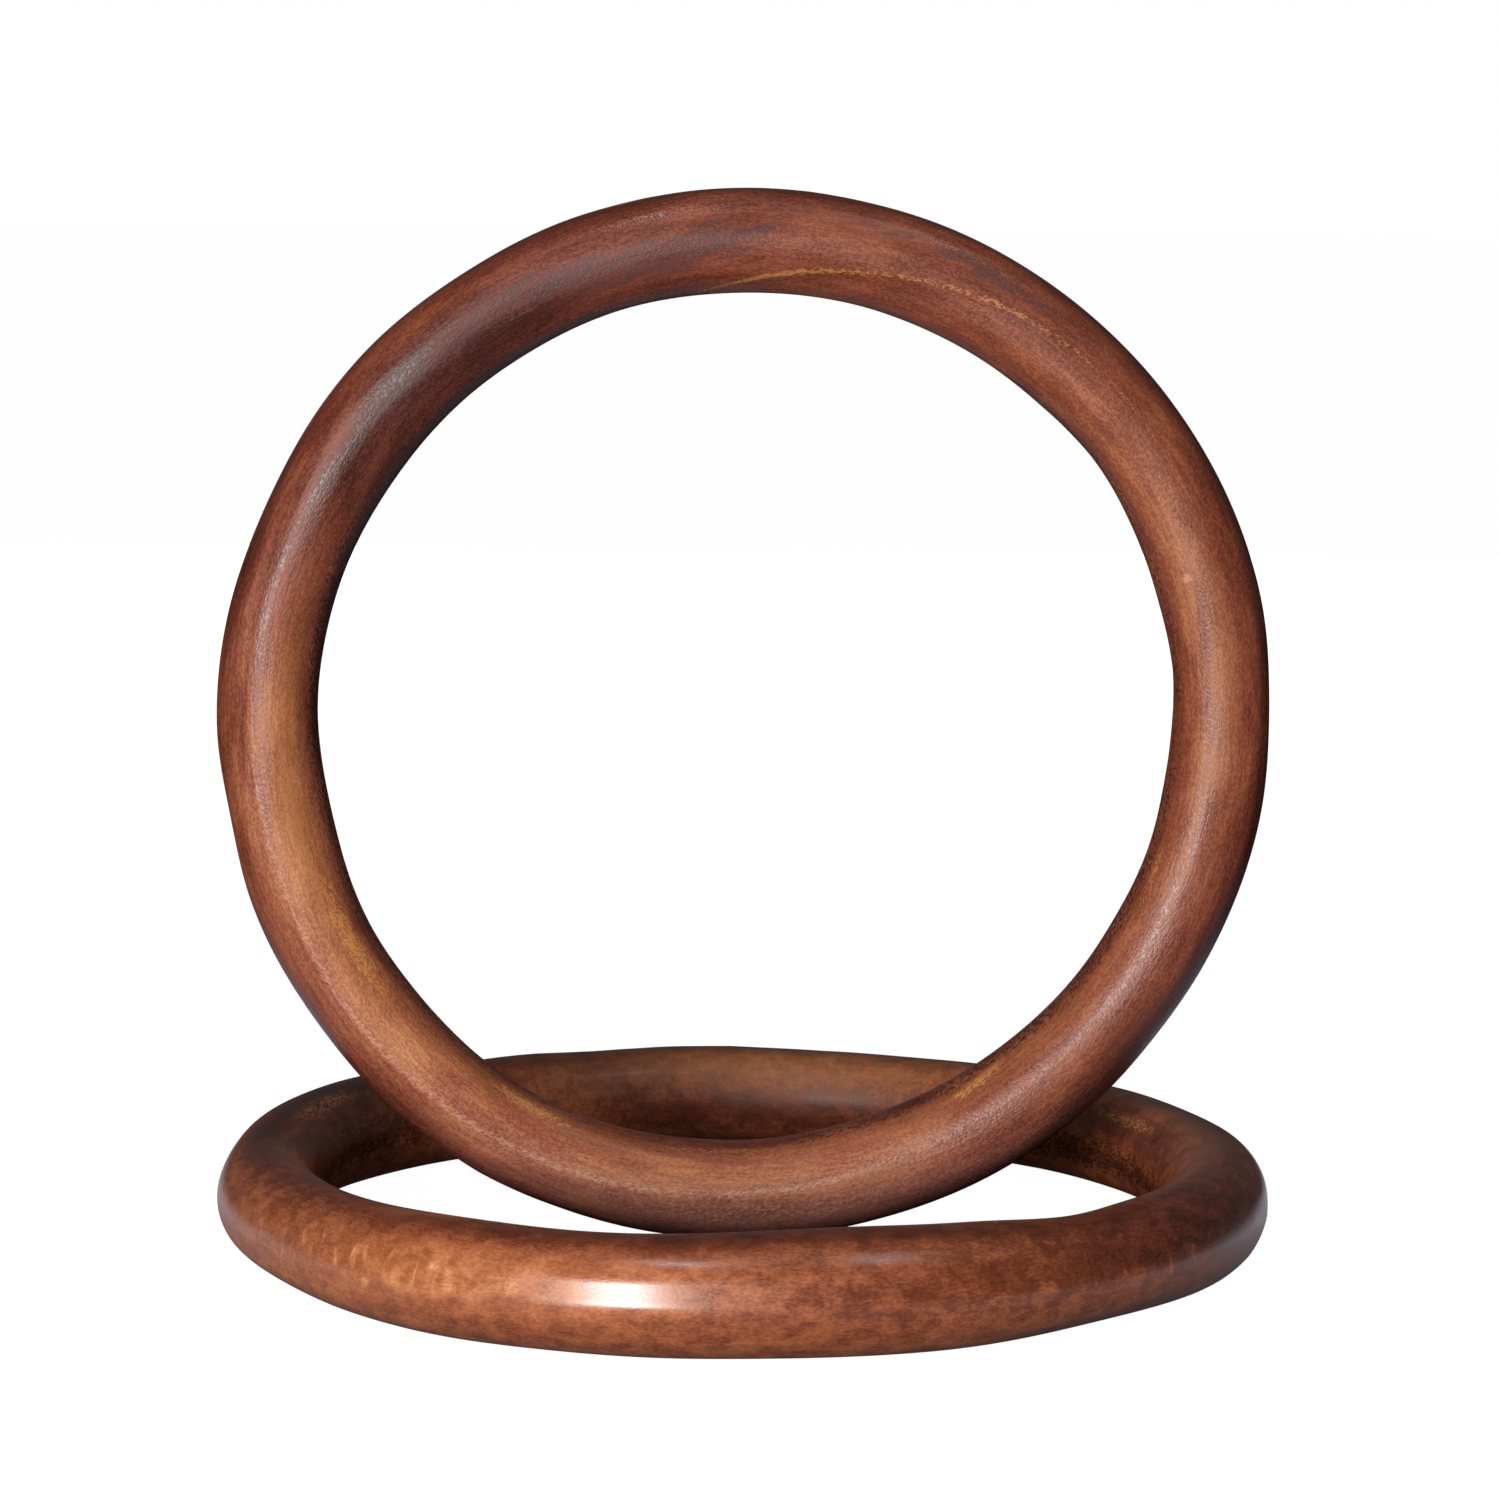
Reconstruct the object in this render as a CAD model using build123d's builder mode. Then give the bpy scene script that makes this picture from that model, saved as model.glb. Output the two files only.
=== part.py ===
"""A pair of hand-shaped wooden gymnastics rings: one lies flat, the other stands on edge inside it.

Each ring is one solid bar of hardwood, closed into a circle and worked to its round section by hand. So the bar is a
little fuller in some places than in others, and its centreline wanders slightly off the true circle.
Millimetres, +Z up. The origin is on the floor, at the centre of the lying ring.
"""

import math
import os
from typing import NamedTuple

from build123d import *

# Driving dimensions
CENTRELINE_DIAMETER = 237.0  # of the circle that both bars follow
STANDING_BAR_DIAMETER = 25.0
LYING_BAR_DIAMETER = 26.0
STATIONS = 36  # sections through which each bar is drawn


class Stroke(NamedTuple):
    """One stretch of the bar that the maker's hand left fuller or leaner than the rest."""

    angle: float  # where it is centred, degrees round the ring
    spread: float  # degrees to each side over which it fades out
    swell: float  # added to the bar's radius, mm
    shift: float  # added to the centreline's radius, mm


# Angles run from +X towards +Z on the standing ring, and from +X towards +Y on the lying ring.
STANDING_STROKES = (
    Stroke(angle=25, spread=35, swell=-0.5, shift=0.8),
    Stroke(angle=155, spread=45, swell=-0.5, shift=-0.4),
    Stroke(angle=195, spread=30, swell=0.1, shift=-0.5),
    Stroke(angle=245, spread=40, swell=-0.4, shift=1.1),
    Stroke(angle=300, spread=35, swell=0.6, shift=-0.8),
    Stroke(angle=335, spread=30, swell=0.1, shift=-0.6),
)
LYING_STROKES = (
    Stroke(angle=70, spread=50, swell=-0.4, shift=-0.1),
    Stroke(angle=150, spread=30, swell=0.6, shift=0.3),
    Stroke(angle=180, spread=25, swell=-0.5, shift=0.0),
    Stroke(angle=205, spread=25, swell=-0.2, shift=-1.2),
    Stroke(angle=238, spread=35, swell=0.8, shift=1.8),
    Stroke(angle=280, spread=40, swell=1.7, shift=-0.8),
    Stroke(angle=315, spread=35, swell=0.3, shift=-0.7),
)


def fade(stroke, angle):
    """How much of a stroke is felt at an angle: 1 at its centre, falling as a cosine to 0 at its spread."""
    away = abs((angle - stroke.angle + 180) % 360 - 180)
    if away >= stroke.spread:
        return 0.0
    return 0.5 * (1 + math.cos(math.pi * away / stroke.spread))


def bar_radius(bar_diameter, strokes, angle):
    """Radius of the bar's section at an angle round the ring."""
    return bar_diameter / 2 + sum(s.swell * fade(s, angle) for s in strokes)


def centreline_radius(strokes, angle):
    """Distance from the ring's centre to the middle of the bar at an angle."""
    return CENTRELINE_DIAMETER / 2 + sum(s.shift * fade(s, angle) for s in strokes)


def draw_bar(ring_plane, bar_diameter, strokes, rests_flat):
    """The bar of one ring, lofted through round sections that close on the first one.

    Where the ring rests flat, every section sits on the ring's plane, so that the whole bar touches the floor.
    """
    sections = []
    for i in range(STATIONS):
        angle = 360 * i / STATIONS
        radius = bar_radius(bar_diameter, strokes, angle)
        rise = radius if rests_flat else 0
        outward = ring_plane.x_dir.rotate(Axis((0, 0, 0), ring_plane.z_dir), angle)
        middle = ring_plane.origin + outward * centreline_radius(strokes, angle) + ring_plane.z_dir * rise
        with BuildSketch(Plane(middle, x_dir=outward, z_dir=ring_plane.z_dir.cross(outward))) as section:
            Circle(radius)
        sections.append(section.sketch.face())
    loft(sections=[*sections, sections[0]])


def standing_height():
    """Height of the standing ring's centre, with the lowest point of its bar on the floor."""
    depths = []
    for degree in range(360):
        drop = -centreline_radius(STANDING_STROKES, degree) * math.sin(math.radians(degree))
        depths.append(drop + bar_radius(STANDING_BAR_DIAMETER, STANDING_STROKES, degree))
    return max(depths)


with BuildPart() as lying_ring:
    draw_bar(Plane.XY, LYING_BAR_DIAMETER, LYING_STROKES, rests_flat=True)

standing_plane = Plane(origin=(0, 0, standing_height()), x_dir=(1, 0, 0), z_dir=(0, -1, 0))
with BuildPart() as standing_ring:
    draw_bar(standing_plane, STANDING_BAR_DIAMETER, STANDING_STROKES, rests_flat=False)

lying_ring.part.label = "lying_ring"
standing_ring.part.label = "standing_ring"

os.makedirs("parts", exist_ok=True)
export_step(lying_ring.part, "parts/lying_ring.step")
export_step(standing_ring.part, "parts/standing_ring.step")
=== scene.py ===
"""Looks of a pair of hand-shaped wooden gymnastics rings: one lies flat, and its mate stands in its hole.

Each bar is made again as one fine closed surface over its CAD node, with the flats, waves and dents that
hand tools leave, and dressed in stained wood whose grain runs along the bar. Metres, +Z up, the CAD frame.
"""

import logging
import math
from dataclasses import dataclass
from enum import Enum

import bpy
import numpy as np
from mathutils import Matrix, Vector


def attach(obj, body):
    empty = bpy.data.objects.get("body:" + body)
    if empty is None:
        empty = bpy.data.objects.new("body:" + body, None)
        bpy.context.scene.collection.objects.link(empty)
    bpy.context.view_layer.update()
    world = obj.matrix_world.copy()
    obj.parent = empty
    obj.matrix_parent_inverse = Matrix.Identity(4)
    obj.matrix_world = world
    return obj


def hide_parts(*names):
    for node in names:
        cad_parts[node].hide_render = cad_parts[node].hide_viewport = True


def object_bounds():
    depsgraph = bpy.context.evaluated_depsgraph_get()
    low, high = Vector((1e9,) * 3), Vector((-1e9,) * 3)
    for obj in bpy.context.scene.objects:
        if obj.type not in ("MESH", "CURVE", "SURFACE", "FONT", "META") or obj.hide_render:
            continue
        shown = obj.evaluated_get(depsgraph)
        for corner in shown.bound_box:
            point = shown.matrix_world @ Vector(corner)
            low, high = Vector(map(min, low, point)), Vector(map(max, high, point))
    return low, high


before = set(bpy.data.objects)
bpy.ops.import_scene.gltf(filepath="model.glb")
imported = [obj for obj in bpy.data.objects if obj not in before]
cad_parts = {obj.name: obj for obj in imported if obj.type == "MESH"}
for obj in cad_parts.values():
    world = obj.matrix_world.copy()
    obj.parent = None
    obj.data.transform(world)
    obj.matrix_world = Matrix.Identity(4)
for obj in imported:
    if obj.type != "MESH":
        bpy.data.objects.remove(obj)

CAD_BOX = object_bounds()
MM = 0.001
Colour = tuple[float, float, float]
BLACK, WHITE = (0.0, 0.0, 0.0), (1.0, 1.0, 1.0)

log = logging.getLogger("rings")


def tint(red: int, green: int, blue: int) -> Colour:
    """The linear colour of a display colour, by the standard display curve.

    Args:
        red: Display red, 0 to 255.
        green: Display green, 0 to 255.
        blue: Display blue, 0 to 255.

    Returns:
        The three linear parts, 0 to 1.
    """
    shares = (red / 255, green / 255, blue / 255)
    return tuple(s / 12.92 if s <= 0.04045 else ((s + 0.055) / 1.055) ** 2.4 for s in shares)


# --------------------------------------------------------------------------------------------------
# Shape: places on a bar are two angles in degrees. "turn" goes round the ring from +X, and "across" goes
# round the bar's section: OUTER faces away from the ring's middle, 90 faces along the ring's axis, which is
# up on the ring that lies and forward on the one that stands, and INNER faces the ring's middle.

OUTER, INNER = 0, 180


class Attitude(Enum):
    """How a ring is posed: the spoke at turn 0, the spoke at turn 90, and the ring's axis."""

    LYING = ((1, 0, 0), (0, 1, 0), (0, 0, 1))
    STANDING = ((1, 0, 0), (0, 0, 1), (0, -1, 0))


def fade(distance: np.ndarray, spread: float) -> np.ndarray:
    """A soft hill: half of one plus the cosine, from 1 at no distance down to 0 at the spread and beyond.

    Args:
        distance: Distances from the hill's middle, of either sign.
        spread: Distance at which the hill ends.

    Returns:
        The hill's height at each distance.
    """
    return 0.5 * (1 + np.cos(np.pi * np.clip(np.abs(distance) / spread, 0, 1)))


def apart(angle: np.ndarray, other: float | np.ndarray) -> np.ndarray:
    """The signed difference of two angles in degrees, from -180 to 180."""
    return (angle - other + 180) % 360 - 180


@dataclass(frozen=True)
class Zone:
    """A soft-edged patch of a bar's surface."""

    turn: float
    across: float
    long: float  # degrees of turn from its middle to its end
    wide: float  # degrees across from its middle to its side
    amount: float
    slant: float = 0.0  # degrees across for each degree of turn

    def on(self, turn: np.ndarray, across: np.ndarray) -> np.ndarray:
        """How strongly the patch is felt: the product of a hill along the bar and a hill across it.

        Args:
            turn: Angles round the ring.
            across: Angles round the bar.

        Returns:
            Strengths from 0 to the patch's amount.
        """
        along = apart(turn, self.turn)
        sideways = apart(across, self.across + self.slant * along)
        return self.amount * fade(along, self.long) * fade(sideways, self.wide)


def swell(turn: float, across: float, long: float, rise: float, wide: float = 60) -> Zone:
    """A fuller stretch of a bar, or a thinner one if the rise, in millimetres, is below zero."""
    return Zone(turn, across, long, wide, rise * MM)


@dataclass(frozen=True)
class Trail:
    """A line that wanders along a bar between a few stops, each (turn, across, amount)."""

    stops: tuple[tuple[float, float, float], ...]
    width: float = 0.0  # degrees across, from the line to where it has faded out; an edge needs none
    BEND = 6  # degrees of turn over which a bend is eased

    def run(self, turn: np.ndarray) -> tuple[np.ndarray, np.ndarray]:
        """Where the line lies and how strong it is: straight between stops, then eased by a running mean.

        Args:
            turn: Evenly spaced angles round the whole ring.

        Returns:
            The angle across and the amount at each turn.
        """
        stops = np.array(self.stops)
        width = len(turn) * self.BEND // 360
        kernel = np.ones(width) / width
        once = slice(len(turn), 2 * len(turn))
        eased = []
        for column in (stops[:, 1], stops[:, 2]):
            straight = np.interp(turn, stops[:, 0], column, period=360)
            eased.append(np.convolve(np.tile(straight, 3), kernel, "same")[once])
        return eased[0], eased[1]

    def on(self, turn: np.ndarray, across: np.ndarray) -> np.ndarray:
        """How strongly the line is felt on a grid: its amount times a hill across it.

        Args:
            turn: Angles round the ring, one row of the grid each.
            across: Angles round the bar, one column each.

        Returns:
            Strengths from 0 to the line's amount.
        """
        middle, amount = self.run(turn[:, 0])
        return amount[:, None] * fade(apart(across, middle[:, None]), self.width)


@dataclass(frozen=True)
class Flat:
    """A flat that a blade left along a bar. Its edge is a trail, and it reaches to higher angles across."""

    edge: Trail
    half_width: float  # degrees
    REACH = 80  # degrees from the flat's middle, past which its plane is well outside the bar

    def cut(self, turn: np.ndarray, across: np.ndarray, radius: np.ndarray) -> np.ndarray:
        """Depth taken off the round bar, where a plane lies inside it.

        A plane through the two edges lies at the radius times the cosine of the half width, divided by the
        cosine of the angle from its middle.

        Args:
            turn: Angles round the ring, one row of the grid each.
            across: Angles round the bar, one column each.
            radius: The bar's radius at each turn, as a column.

        Returns:
            Depths in the radius's unit.
        """
        edge, amount = self.edge.run(turn[:, 0])
        away = apart(across, edge[:, None] + self.half_width)
        away = np.radians(np.clip(away, -self.REACH, self.REACH))
        plane = math.cos(math.radians(self.half_width)) / np.cos(away)
        return radius * amount[:, None] * np.clip(1 - plane, 0, None)


def wander(turn: np.ndarray, across: np.ndarray, seed: int, most: tuple[int, int],
           count: int = 40) -> np.ndarray:
    """A smooth closed pattern: a sum of cosines with whole numbers of waves round the ring and the bar.

    Args:
        turn: Angles round the ring.
        across: Angles round the bar.
        seed: Seed of the draw of waves and phases.
        most: Most waves round the ring and round the bar.
        count: How many cosines are added.

    Returns:
        Heights with a mean square of about one.
    """
    draw = np.random.default_rng(seed)
    around = draw.integers(1, most[0] + 1, count)
    over = draw.integers(-most[1], most[1] + 1, count)
    phase = draw.uniform(0, 2 * np.pi, count)
    total = np.zeros(np.broadcast(turn, across).shape)
    for m, n, p in zip(around, over, phase):
        total += np.cos(np.radians(m * turn + n * across) + p)
    return total * math.sqrt(2 / count)


@dataclass(frozen=True)
class BarLine:
    """Where a bar's middle runs and how thick it is: wave series round the ring, read off its CAD node."""

    middle: np.ndarray  # the ring's middle point
    weights: np.ndarray  # of the constant, cosines and sines, for each of three series
    WAVES = 14  # waves round the ring in the series' finest term

    @classmethod
    def waves(cls, turn: np.ndarray) -> np.ndarray:
        """The series' terms at each turn: one, then the cosines and sines of 1 to WAVES times the angle."""
        angles = np.outer(np.radians(turn), np.arange(1, cls.WAVES + 1))
        return np.hstack([np.ones((len(turn), 1)), np.cos(angles), np.sin(angles)])

    @classmethod
    def read(cls, node: bpy.types.Object, attitude: Attitude) -> "BarLine":
        """Fits a circle to the bar's section all round the ring at once.

        A point at distance d from the ring's axis and height h lies on a circle of radius r about (R, Z)
        when d squared plus h squared is 2Rd + 2Zh + (r squared - R squared - Z squared). With each of the
        three factors written as a wave series of the turn, that is one linear least-squares fit.

        Args:
            node: The ring's CAD node.
            attitude: How the ring is posed.

        Returns:
            The fitted line.
        """
        points = np.empty(len(node.data.vertices) * 3)
        node.data.vertices.foreach_get("co", points)
        points = points.reshape(-1, 3)
        middle = (points.min(0) + points.max(0)) / 2
        first, second, axis = np.array(attitude.value, float)
        local = points - middle
        along, up, height = local @ first, local @ second, local @ axis
        distance = np.hypot(along, up)
        terms = cls.waves(np.degrees(np.arctan2(up, along)))
        rows = np.hstack([terms * distance[:, None], terms * height[:, None], terms])
        weights = np.linalg.lstsq(rows, distance**2 + height**2, rcond=None)[0]
        return cls(middle, weights.reshape(3, -1))

    def at(self, turn: np.ndarray) -> tuple[np.ndarray, np.ndarray, np.ndarray]:
        """The bar at each turn.

        Args:
            turn: Angles round the ring.

        Returns:
            The middle's distance from the ring's axis, its height along the axis, and the bar's radius.
        """
        twice_out, twice_up, rest = (self.waves(turn) @ self.weights.T).T
        out, up = twice_out / 2, twice_up / 2
        return out, up, np.sqrt(rest + out**2 + up**2)


@dataclass(frozen=True)
class Crest:
    """A corner in the bar's outline, where two blade strokes meet across the bar."""

    turn: float
    across: float
    rise: float  # height of the corner, or depth if it is below zero
    long: float = 9.0  # degrees of turn from its middle to its end
    wide: float = 60.0  # degrees across from its middle to its side

    def height(self, turn: np.ndarray, across: np.ndarray) -> np.ndarray:
        """Height added to the bar: a tent along the bar, sharp at its ridge, times a hill across it.

        Args:
            turn: Angles round the ring.
            across: Angles round the bar.

        Returns:
            Heights in the rise's unit.
        """
        tent = np.clip(1 - np.abs(apart(turn, self.turn)) / self.long, 0, None)
        return self.rise * tent * fade(apart(across, self.across), self.wide)


@dataclass(frozen=True)
class HandWork:
    """What hand tools left on a bar: long narrow facets, waves, flats, corners, swells and a few dents."""

    seed: int
    flats: tuple[Flat, ...] = ()
    crests: tuple[Crest, ...] = ()
    swells: tuple[Zone, ...] = ()  # amounts in metres, below zero for hollows
    facets: int = 11  # blade strokes round the bar
    facet_share: float = 0.3  # how much of each facet the sandpaper left
    facet_sway: float = 0.35  # how far the facets wander round the bar, in facets
    wave: float = 0.10 * MM
    sway_waves: tuple[int, int] = (7, 0)  # most waves round the ring and the bar, of how facets wander,
    facet_waves: tuple[int, int] = (9, 2)  # of how they come and go,
    surface_waves: tuple[int, int] = (16, 3)  # and of the surface
    dents: int = 18
    dent_depth: float = 0.14 * MM
    dent_radius: float = 1.1 * MM
    dent_depths: tuple[float, float] = (0.4, 1.0)  # least and most share of the depth
    dent_sizes: tuple[float, float] = (0.5, 1.3)  # and of the radius

    def relief(self, turn: np.ndarray, across: np.ndarray, radius: np.ndarray, reach: float) -> np.ndarray:
        """Height of the worked surface over the plain round bar.

        Facets are the gap between the circle and a polygon that twists slowly along the bar, and they come
        and go. Waves are a smooth closed pattern, and dents are round hollows that fall off as a Gaussian.

        Args:
            turn: Angles round the ring, one row of the grid each.
            across: Angles round the bar, one column each.
            radius: The bar's radius at each turn, as a column.
            reach: The ring's radius to the bar's middle.

        Returns:
            Heights in metres.
        """
        step = 2 * np.pi / self.facets
        twist = self.facet_sway * step * wander(turn, 0 * across, self.seed, self.sway_waves)
        within = (np.radians(across) + twist) % step - step / 2
        polygon = math.cos(step / 2) / np.cos(within)
        present = np.clip(0.5 + 0.5 * wander(turn, across, self.seed + 1, self.facet_waves), 0, 1)
        height = -radius * self.facet_share * present * (1 - polygon)
        height -= height.mean()
        height += self.wave * wander(turn, across, self.seed + 2, self.surface_waves)
        height -= sum(flat.cut(turn, across, radius) for flat in self.flats)
        height += sum(crest.height(turn, across) for crest in self.crests)
        height += sum(swell.on(turn, across) for swell in self.swells)
        draw = np.random.default_rng(self.seed + 3)
        for _ in range(self.dents):
            at_turn, at_across = draw.uniform(0, 360, 2)
            size = self.dent_radius * draw.uniform(*self.dent_sizes)
            depth = self.dent_depth * draw.uniform(*self.dent_depths)
            along = np.radians(apart(turn, at_turn)) * reach
            sideways = np.radians(apart(across, at_across)) * radius
            height -= depth * np.exp(-(along**2 + sideways**2) / size**2)
        return height


# --------------------------------------------------------------------------------------------------
# Finish


class Mark(Enum):
    """Kinds of marking on the wood, some of them painted light and shade, each a point attribute on a
    ring's mesh.
    """

    TONE_AND_SHADE = "tone_and_painted_shade"  # lighter above zero, darker below: partly the wood's own tone, partly painted shade and light
    RUBBED = "rubbed_gold"
    SMOKY = "smoky_heartwood"
    GOLDEN = "golden_olive"
    # dark stain, with painted shade on inner faces and undersides
    DARK_STAIN_AND_SHADE = "dark_stain_and_painted_shade"
    # painted glints and sheen: pale flecks where the key light shines back
    GLINT_AND_SHEEN = "painted_glint_and_sheen"
    POLISH = "polish"  # burnished above zero, dulled below
    CURLY = "curly_figure"
    # painted sheen with some dust: a greyish film for reflections of the floor and sky
    DUST_AND_SHEEN = "dust_and_painted_sheen"


Markings = dict[Mark, tuple[Zone | Trail, ...]]  # where each kind lies on a ring
Socket = bpy.types.NodeSocket
Value = Socket | float | Colour


class Bench:
    """Adds nodes to one tree and joins them up, so that a finish reads as a list of steps."""

    def __init__(self, tree: bpy.types.NodeTree) -> None:
        """Takes the tree to work in."""
        self.tree = tree

    def feed(self, socket: Socket, value: Value) -> None:
        """Links a socket's value in, or sets it if it is plain numbers.

        Args:
            socket: The input to fill.
            value: An output socket, a number, a vector or a colour.
        """
        if isinstance(value, bpy.types.NodeSocket):
            self.tree.links.new(value, socket)
        elif socket.type == "RGBA" and len(value) == 3:
            socket.default_value = (*value, 1.0)
        else:
            socket.default_value = value

    def node(self, kind: str, inputs: dict[str | int, Value] | None = None,
             **settings: object) -> bpy.types.Node:
        """Adds a node.

        Args:
            kind: The node's type name.
            inputs: What goes into its inputs, by name or number.
            **settings: Its own properties.

        Returns:
            The node.
        """
        made = self.tree.nodes.new(kind)
        for name, value in settings.items():
            setattr(made, name, value)
        for name, value in (inputs or {}).items():
            self.feed(made.inputs[name], value)
        return made

    def math(self, operation: str, *values: Value, clamp: bool = False) -> Socket:
        """The result of one sum on up to three numbers."""
        made = self.node("ShaderNodeMath", dict(enumerate(values)), operation=operation, use_clamp=clamp)
        return made.outputs[0]

    def ramp(self, value: Value, low: Value, high: Value) -> Socket:
        """An eased step of a value, from 0 at low to 1 at high."""
        inputs = {"Value": value, "From Min": low, "From Max": high}
        return self.node("ShaderNodeMapRange", inputs, interpolation_type="SMOOTHSTEP").outputs[0]

    def blend(self, share: Value, under: Value, over: Value) -> Socket:
        """One colour laid over another.

        Args:
            share: How much of the upper colour shows.
            under: The lower colour.
            over: The upper colour.

        Returns:
            The mixed colour.
        """
        made = self.node("ShaderNodeMix", data_type="RGBA")
        factor, first, second, result = 0, 6, 7, 2  # sockets of the colour mix, whose names repeat
        self.feed(made.inputs[factor], share)
        self.feed(made.inputs[first], under)
        self.feed(made.inputs[second], over)
        return made.outputs[result]

    def mark(self, mark: Mark) -> Socket:
        """The strength of a kind of marking at each point."""
        return self.node("ShaderNodeAttribute", attribute_name=mark.value).outputs["Fac"]

    def place(self, name: str) -> Socket:
        """One of the places on the bar that a ring's mesh carries."""
        return self.node("ShaderNodeAttribute", attribute_name=name).outputs["Vector"]

    def group(self, tree: bpy.types.NodeTree, inputs: dict[str, Value]) -> Socket:
        """Places a group of one output and returns that output."""
        return self.node("ShaderNodeGroup", inputs, node_tree=tree).outputs[0]


SECTION_PLACE = "section_place"  # attribute: place in the bar's section, metres
SPIRAL_PLACE = "spiral_place"  # attribute: the same, turned steadily along the bar, for slanting grain
SPIRAL_TURNS = 3  # times that it turns in one round of the ring
LINE_PLACE = "line_place"  # attribute: place on the circle that the bar follows, metres
ZONE_FOOT = 0.2  # strength of a marking below which its patches thin out


def new_group(name: str, inputs: dict[str, tuple[float, float]], output: str) -> bpy.types.NodeTree:
    """An empty shader group of number inputs and one number output.

    Args:
        name: The group's name.
        inputs: For each input's name, its default and its largest value.
        output: The output's name.

    Returns:
        The group.
    """
    tree = bpy.data.node_groups.new(name, "ShaderNodeTree")
    for label, (default, most) in inputs.items():
        socket = tree.interface.new_socket(label, in_out="INPUT", socket_type="NodeSocketFloat")
        socket.default_value = default
        socket.max_value = most
    tree.interface.new_socket(output, in_out="OUTPUT", socket_type="NodeSocketFloat")
    return tree


def grain_group() -> bpy.types.NodeTree:
    """Noise that follows the bar: cells of one size across it and another along it, with no seam anywhere.

    The noise is read in four dimensions. Two are the place in the section, divided by the cells' width,
    and two the place on the ring's circle, divided by their length, so the pattern closes on itself.

    Returns:
        The group, which puts out an eased 0 to 1.
    """
    inputs = {"Width": (1 * MM, 1.0), "Length": (20 * MM, 1.0), "Detail": (2.0, 8.0), "Warp": (0.0, 10.0),
              "Low": (0.3, 1.0), "High": (0.7, 1.0)}
    tree = new_group("Grain along the bar", inputs, "Amount")
    tree.interface.new_socket("Section", in_out="INPUT", socket_type="NodeSocketVector")
    bench = Bench(tree)
    given = bench.node("NodeGroupInput")
    section = bench.node("ShaderNodeSeparateXYZ", {0: given.outputs["Section"]}).outputs
    line = bench.node("ShaderNodeSeparateXYZ", {0: bench.place(LINE_PLACE)}).outputs
    width, length = given.outputs["Width"], given.outputs["Length"]
    place = bench.node("ShaderNodeCombineXYZ", {
        0: bench.math("DIVIDE", section[0], width),
        1: bench.math("DIVIDE", section[1], width),
        2: bench.math("DIVIDE", line[0], length),
    })
    noise = bench.node("ShaderNodeTexNoise", {
        "Vector": place.outputs[0],
        "W": bench.math("DIVIDE", line[1], length),
        "Scale": 1.0,
        "Detail": given.outputs["Detail"],
        "Distortion": given.outputs["Warp"],
    }, noise_dimensions="4D")
    eased = bench.node("ShaderNodeMapRange", {
        "Value": noise.outputs[0], "From Min": given.outputs["Low"], "From Max": given.outputs["High"],
    }, interpolation_type="SMOOTHSTEP")
    bench.node("NodeGroupOutput", {0: eased.outputs[0]})
    return tree


def broken_group() -> bpy.types.NodeTree:
    """Breaks a soft zone up with a pattern: the zone and a share of the pattern are added and cut at one.

    Returns:
        The group, whose mask is full where the zone is strong and scattered where it fades.
    """
    inputs = {"Zone": (0.0, 1.0), "Pattern": (0.5, 1.0), "Share": (0.5, 1.0), "Edge": (0.2, 1.0)}
    tree = new_group("Broken edge", inputs, "Mask")
    bench = Bench(tree)
    given = bench.node("NodeGroupInput")
    zone, pattern = given.outputs["Zone"], given.outputs["Pattern"]
    level = bench.math("ADD", zone, bench.math("MULTIPLY", pattern, given.outputs["Share"]))
    start = bench.math("SUBTRACT", 1.0, given.outputs["Edge"])
    mask = bench.ramp(level, start, bench.math("ADD", start, given.outputs["Edge"]))
    bench.node("NodeGroupOutput", {0: bench.math("MULTIPLY", mask, bench.ramp(zone, 0.0, ZONE_FOOT))})
    return tree


@dataclass(frozen=True)
class Cells:
    """Cells of grain: how large they are, and how the noise that makes them is drawn and cut."""

    width: float  # millimetres
    length: float
    low: float = 0.3  # level of the noise where the cells start to show
    high: float = 0.7  # level where they show in full
    detail: float = 2.0
    warp: float = 0.0
    place: str = SECTION_PLACE

    def draw(self, bench: Bench, grain: bpy.types.NodeTree) -> Socket:
        """The cells, from 0 between them to 1 in them.

        Args:
            bench: Where the material is being built.
            grain: The group that makes noise along the bar.

        Returns:
            How strongly they show at each point.
        """
        return bench.group(grain, {
            "Section": bench.place(self.place), "Width": self.width * MM, "Length": self.length * MM,
            "Detail": self.detail, "Warp": self.warp, "Low": self.low, "High": self.high})


@dataclass(frozen=True)
class Patches:
    """A marking of one colour that breaks up into patches where it fades out."""

    mark: Mark
    colour: Colour
    share: float  # how much the pattern counts beside the marking's own strength
    edge: float  # how soft the patches' edges are
    strength: float  # how much of the colour shows

    def lay(self, bench: Bench, broken: bpy.types.NodeTree, pattern: Socket, under: Socket) -> Socket:
        """Lays the patches over a colour.

        Args:
            bench: Where the material is being built.
            broken: The group that breaks up a zone's edge.
            pattern: What breaks them up.
            under: The colour below.

        Returns:
            The colour with the patches on it.
        """
        mask = bench.group(broken, {"Zone": bench.mark(self.mark), "Pattern": pattern, "Share": self.share,
                                    "Edge": self.edge})
        return bench.blend(bench.math("MULTIPLY", mask, self.strength), under, self.colour)


@dataclass(frozen=True)
class Film:
    """A marking that lies over the stain as a thin film of colour, thicker where a pattern is strong."""

    mark: Mark
    colour: Colour
    strength: float = 0.25  # how much of the colour shows at least
    gain: float = 0.4  # how much more shows where the pattern is strongest

    def lay(self, bench: Bench, pattern: Socket, under: Socket) -> Socket:
        """Lays the film over a colour.

        Args:
            bench: Where the material is being built.
            pattern: What makes it uneven.
            under: The colour below.

        Returns:
            The colour with the film on it.
        """
        thickness = bench.math("MULTIPLY_ADD", pattern, self.gain, self.strength)
        return bench.blend(bench.math("MULTIPLY", bench.mark(self.mark), thickness), under, self.colour)


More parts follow.
